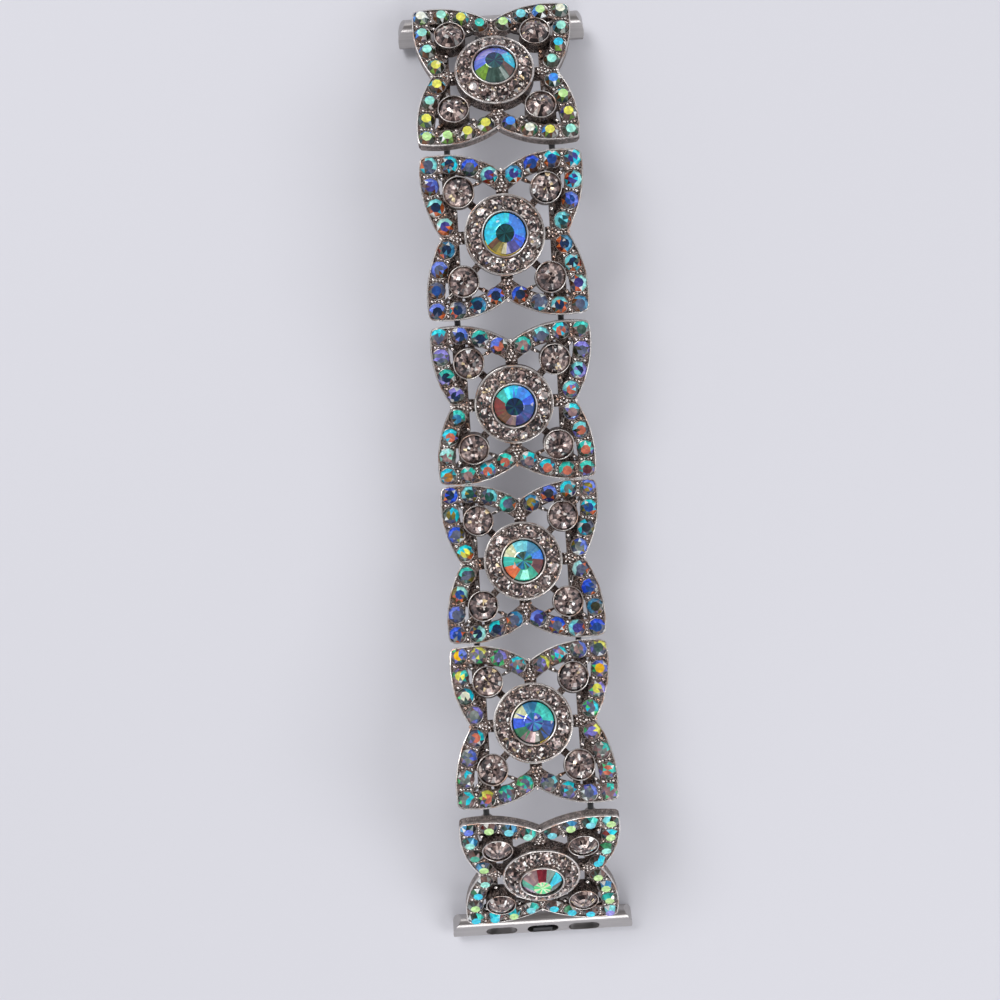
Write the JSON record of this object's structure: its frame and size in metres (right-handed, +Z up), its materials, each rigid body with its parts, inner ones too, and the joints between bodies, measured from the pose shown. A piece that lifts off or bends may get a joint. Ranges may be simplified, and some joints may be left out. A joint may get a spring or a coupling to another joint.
{
  "type": "rhinestone watch band",
  "caption": "Stretch watch band of openwork cast links set with round stones, strung on elastic cords, with a slide-in rail at each end.",
  "frame": {"origin": "on the surface that the band lies on, under the middle of its width and length", "axes": "+Z up with the stones facing up, +Y along the band from the bottom rail to the top rail, +X across the band"},
  "size_m": [0.0272, 0.1374, 0.0188],
  "materials": {
    "cast_silver": "bright silver plating over a zinc casting",
    "coated_stones": "foil-backed faceted glass with a rainbow coating",
    "clear_stones": "foil-backed faceted glass, slightly smoky",
    "rail_metal": "satin",
    "catch_plastic": "matt black",
    "spring_steel": "bright spring strip",
    "elastic": "round black elastic cord"
  },
  "bodies": {
    "link_1": {"link_1_casting": "cast_silver", "link_1_rim_stones": "coated_stones", "link_1_corner_stones": "clear_stones", "link_1_halo_stones": "clear_stones", "link_1_centre_stone": "coated_stones", "link_1_cords": "elastic"},
    "link_2": {"link_2_casting": "cast_silver", "link_2_rim_stones": "coated_stones", "link_2_corner_stones": "clear_stones", "link_2_halo_stones": "clear_stones", "link_2_centre_stone": "coated_stones", "link_2_cords": "elastic"},
    "link_3": {"link_3_casting": "cast_silver", "link_3_rim_stones": "coated_stones", "link_3_corner_stones": "clear_stones", "link_3_halo_stones": "clear_stones", "link_3_centre_stone": "coated_stones", "link_3_cords": "elastic"},
    "link_4": {"link_4_casting": "cast_silver", "link_4_rim_stones": "coated_stones", "link_4_corner_stones": "clear_stones", "link_4_halo_stones": "clear_stones", "link_4_centre_stone": "coated_stones", "link_4_cords": "elastic"},
    "link_5": {"link_5_casting": "cast_silver", "link_5_rim_stones": "coated_stones", "link_5_corner_stones": "clear_stones", "link_5_halo_stones": "clear_stones", "link_5_centre_stone": "coated_stones", "link_5_cords": "elastic"},
    "link_6": {"link_6_casting": "cast_silver", "link_6_rim_stones": "coated_stones", "link_6_corner_stones": "clear_stones", "link_6_halo_stones": "clear_stones", "link_6_centre_stone": "coated_stones", "link_6_cords": "elastic"},
    "cord_top_end": {"elastic_top_end": "elastic"},
    "cord_1_2": {"elastic_1_2": "elastic"},
    "cord_2_3": {"elastic_2_3": "elastic"},
    "cord_3_4": {"elastic_3_4": "elastic"},
    "cord_4_5": {"elastic_4_5": "elastic"},
    "cord_5_6": {"elastic_5_6": "elastic"},
    "cord_bottom_end": {"elastic_bottom_end": "elastic"},
    "top_rail": {"top_rail": "rail_metal", "top_cord_knots": "elastic", "top_catch_spring": "spring_steel"},
    "top_catch": {"top_catch": "catch_plastic"},
    "bottom_rail": {"bottom_rail": "rail_metal", "bottom_cord_knots": "elastic", "bottom_catch_spring": "spring_steel"},
    "bottom_catch": {"bottom_catch": "catch_plastic"}
  },
  "joints": [
    {"name": "stretch_2_3", "type": "slide", "parent": "link_3", "child": "cord_2_3", "axis": [0, 0.9846, 0.1746], "range_m": [0, 0.004], "stiffness_N_per_m": 600, "springref_m": -0.0025},
    {"name": "curl_2_3", "type": "hinge", "parent": "cord_2_3", "child": "link_2", "pos_m": [0, 0.02329, 0.01144], "axis": [-1, 0, 0], "range_deg": [-24.5, 45], "deforming": ["elastic_2_3"]},
    {"name": "stretch_1_2", "type": "slide", "parent": "link_2", "child": "cord_1_2", "axis": [0, 0.9986, 0.0533], "range_m": [0, 0.004], "stiffness_N_per_m": 600, "springref_m": -0.0025},
    {"name": "curl_1_2", "type": "hinge", "parent": "cord_1_2", "child": "link_1", "pos_m": [0, 0.0465, 0.01268], "axis": [-1, 0, 0], "range_deg": [-41.5, 28], "deforming": ["elastic_1_2"]},
    {"name": "stretch_top_end", "type": "slide", "parent": "link_1", "child": "cord_top_end", "axis": [0, 0.9339, -0.3574], "range_m": [0, 0.004], "stiffness_N_per_m": 600, "springref_m": -0.0025},
    {"name": "curl_top_end", "type": "hinge", "parent": "cord_top_end", "child": "top_rail", "pos_m": [0, 0.0682, 0.00437], "axis": [-1, 0, 0], "range_deg": [-125, 5], "deforming": ["elastic_top_end"]},
    {"name": "stretch_3_4", "type": "slide", "parent": "link_3", "child": "cord_3_4", "axis": [0, -0.9846, -0.1746], "range_m": [0, 0.004], "stiffness_N_per_m": 600, "springref_m": -0.0025},
    {"name": "curl_3_4", "type": "hinge", "parent": "cord_3_4", "child": "link_4", "pos_m": [0, 0.00041, 0.00738], "axis": [1, 0, 0], "range_deg": [-0.5, 69], "deforming": ["elastic_3_4"]},
    {"name": "stretch_4_5", "type": "slide", "parent": "link_4", "child": "cord_4_5", "axis": [0, -0.9927, 0.1209], "range_m": [0, 0.004], "stiffness_N_per_m": 600, "springref_m": -0.0025},
    {"name": "curl_4_5", "type": "hinge", "parent": "cord_4_5", "child": "link_5", "pos_m": [0, -0.02266, 0.01019], "axis": [1, 0, 0], "range_deg": [-8.5, 61], "deforming": ["elastic_4_5"]},
    {"name": "stretch_5_6", "type": "slide", "parent": "link_5", "child": "cord_5_6", "axis": [0, -0.9615, 0.2747], "range_m": [0, 0.004], "stiffness_N_per_m": 600, "springref_m": -0.0025},
    {"name": "curl_5_6", "type": "hinge", "parent": "cord_5_6", "child": "link_6", "pos_m": [0, -0.04501, 0.01658], "axis": [1, 0, 0], "range_deg": [-66.5, 3], "deforming": ["elastic_5_6"]},
    {"name": "stretch_bottom_end", "type": "slide", "parent": "link_6", "child": "cord_bottom_end", "axis": [0, -0.8381, -0.5455], "range_m": [0, 0.004], "stiffness_N_per_m": 600, "springref_m": -0.0025},
    {"name": "curl_bottom_end", "type": "hinge", "parent": "cord_bottom_end", "child": "bottom_rail", "pos_m": [0, -0.06449, 0.0039], "axis": [1, 0, 0], "range_deg": [-30, 100], "deforming": ["elastic_bottom_end"]},
    {"name": "top_catch_press", "type": "slide", "parent": "top_rail", "child": "top_catch", "axis": [0, 0.587, 0.8096], "range_m": [0, 0.00045], "stiffness_N_per_m": 400, "springref_m": -0.0006, "deforming": ["top_catch_spring"]},
    {"name": "bottom_catch_press", "type": "slide", "parent": "bottom_rail", "child": "bottom_catch", "axis": [0, 0.7307, 0.6827], "range_m": [0, 0.00045], "stiffness_N_per_m": 400, "springref_m": -0.0006, "deforming": ["bottom_catch_spring"]}
  ],
  "couplings": [
    {"joint": "stretch_top_end", "follows": "stretch_3_4", "ratio": 1},
    {"joint": "stretch_1_2", "follows": "stretch_3_4", "ratio": 1},
    {"joint": "stretch_2_3", "follows": "stretch_3_4", "ratio": 1},
    {"joint": "stretch_4_5", "follows": "stretch_3_4", "ratio": 1},
    {"joint": "stretch_5_6", "follows": "stretch_3_4", "ratio": 1},
    {"joint": "stretch_bottom_end", "follows": "stretch_3_4", "ratio": 1}
  ]
}
